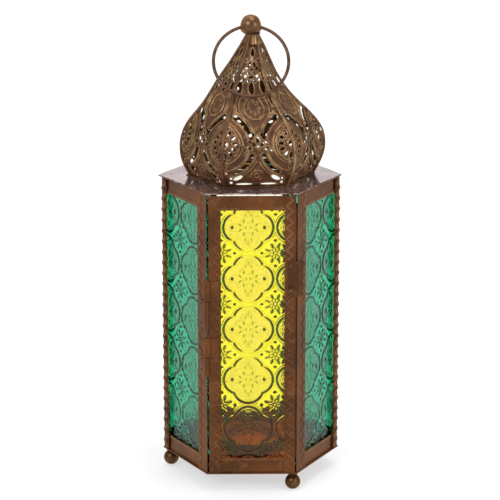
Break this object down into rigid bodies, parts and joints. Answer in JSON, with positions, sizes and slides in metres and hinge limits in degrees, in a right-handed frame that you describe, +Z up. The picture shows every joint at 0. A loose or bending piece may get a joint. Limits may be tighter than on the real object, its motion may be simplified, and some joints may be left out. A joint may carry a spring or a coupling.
{
  "type": "candle lantern",
  "caption": "Six-sided sheet-metal candle lantern with pressed amber and green glass, a hinged glass door, a pierced onion dome and a swinging carrying ring on ball feet.",
  "frame": {"origin": "on the table plane under the middle of the six-sided body", "axes": "+Z up along the body's axis, -Y out through the door, +X to the right when facing the door"},
  "size_m": [0.116, 0.1019, 0.3009],
  "materials": {
    "body_metal": "antique bronze paint on pressed sheet, worn at edges",
    "dome_metal": "antique bronze paint on pressed, pierced sheet with brassy high spots",
    "ball_metal": "brassy bronze lacquer, smooth",
    "wire_metal": "bronzed wire, satin",
    "amber_glass": "pressed amber glass with a raised quatrefoil and daisy pattern",
    "clear_glass": "clear pressed glass, faintly cream, with the same raised pattern",
    "plate_metal": "antique bronze under a glossy lacquer on the top plate",
    "green_glass": "pressed green glass with a raised quatrefoil and daisy pattern"
  },
  "bodies": {
    "lantern": {"candle_cup": "body_metal", "corner_post_back_left": "body_metal", "corner_post_back_right": "body_metal", "corner_post_left": "body_metal", "corner_post_right": "body_metal", "dome_flange": "dome_metal", "dome_panel_1": "dome_metal", "dome_panel_2": "dome_metal", "dome_panel_3": "dome_metal", "dome_panel_4": "dome_metal", "dome_panel_5": "dome_metal", "dome_panel_6": "dome_metal", "dome_rib_1": "dome_metal", "dome_rib_2": "dome_metal", "dome_rib_3": "dome_metal", "dome_rib_4": "dome_metal", "dome_rib_5": "dome_metal", "dome_rib_6": "dome_metal", "door_post_hinge": "body_metal", "door_post_latch": "body_metal", "door_stop": "body_metal", "finial_ball": "ball_metal", "floor_lip": "body_metal", "floor_plate": "body_metal", "foot_back": "ball_metal", "foot_front": "ball_metal", "foot_left": "ball_metal", "glass_back": "clear_glass", "glass_back_left": "green_glass", "glass_back_right": "green_glass", "glass_clips": "body_metal", "glass_front_left": "green_glass", "glass_front_right": "green_glass", "hinge_leaf_body": "body_metal", "hinge_pin": "wire_metal", "neck_cap": "ball_metal", "rail_bottom_back": "body_metal", "rail_bottom_back_left": "body_metal", "rail_bottom_back_right": "body_metal", "rail_bottom_front_left": "body_metal", "rail_bottom_front_right": "body_metal", "rail_top_back": "body_metal", "rail_top_back_left": "body_metal", "rail_top_back_right": "body_metal", "rail_top_front_left": "body_metal", "rail_top_front_right": "body_metal", "top_plate": "plate_metal"},
    "door": {"door_stile_hinge": "body_metal", "door_stile_latch": "body_metal", "door_rail_top": "body_metal", "door_rail_bottom": "body_metal", "door_glass": "amber_glass", "door_glass_clips": "body_metal", "hinge_leaf_door": "body_metal", "latch_clip": "body_metal", "latch_rivets": "wire_metal"},
    "ring": {"carry_ring": "wire_metal"}
  },
  "joints": [
    {"name": "door_hinge", "type": "hinge", "parent": "lantern", "child": "door", "pos_m": [-0.0286, -0.04954, 0.1036], "axis": [0, 0, -1], "range_deg": [0, 150]},
    {"name": "ring_swing", "type": "hinge", "parent": "lantern", "child": "ring", "pos_m": [0, 0, 0.29344], "axis": [-1, 0, 0], "range_deg": [0, 296]}
  ]
}
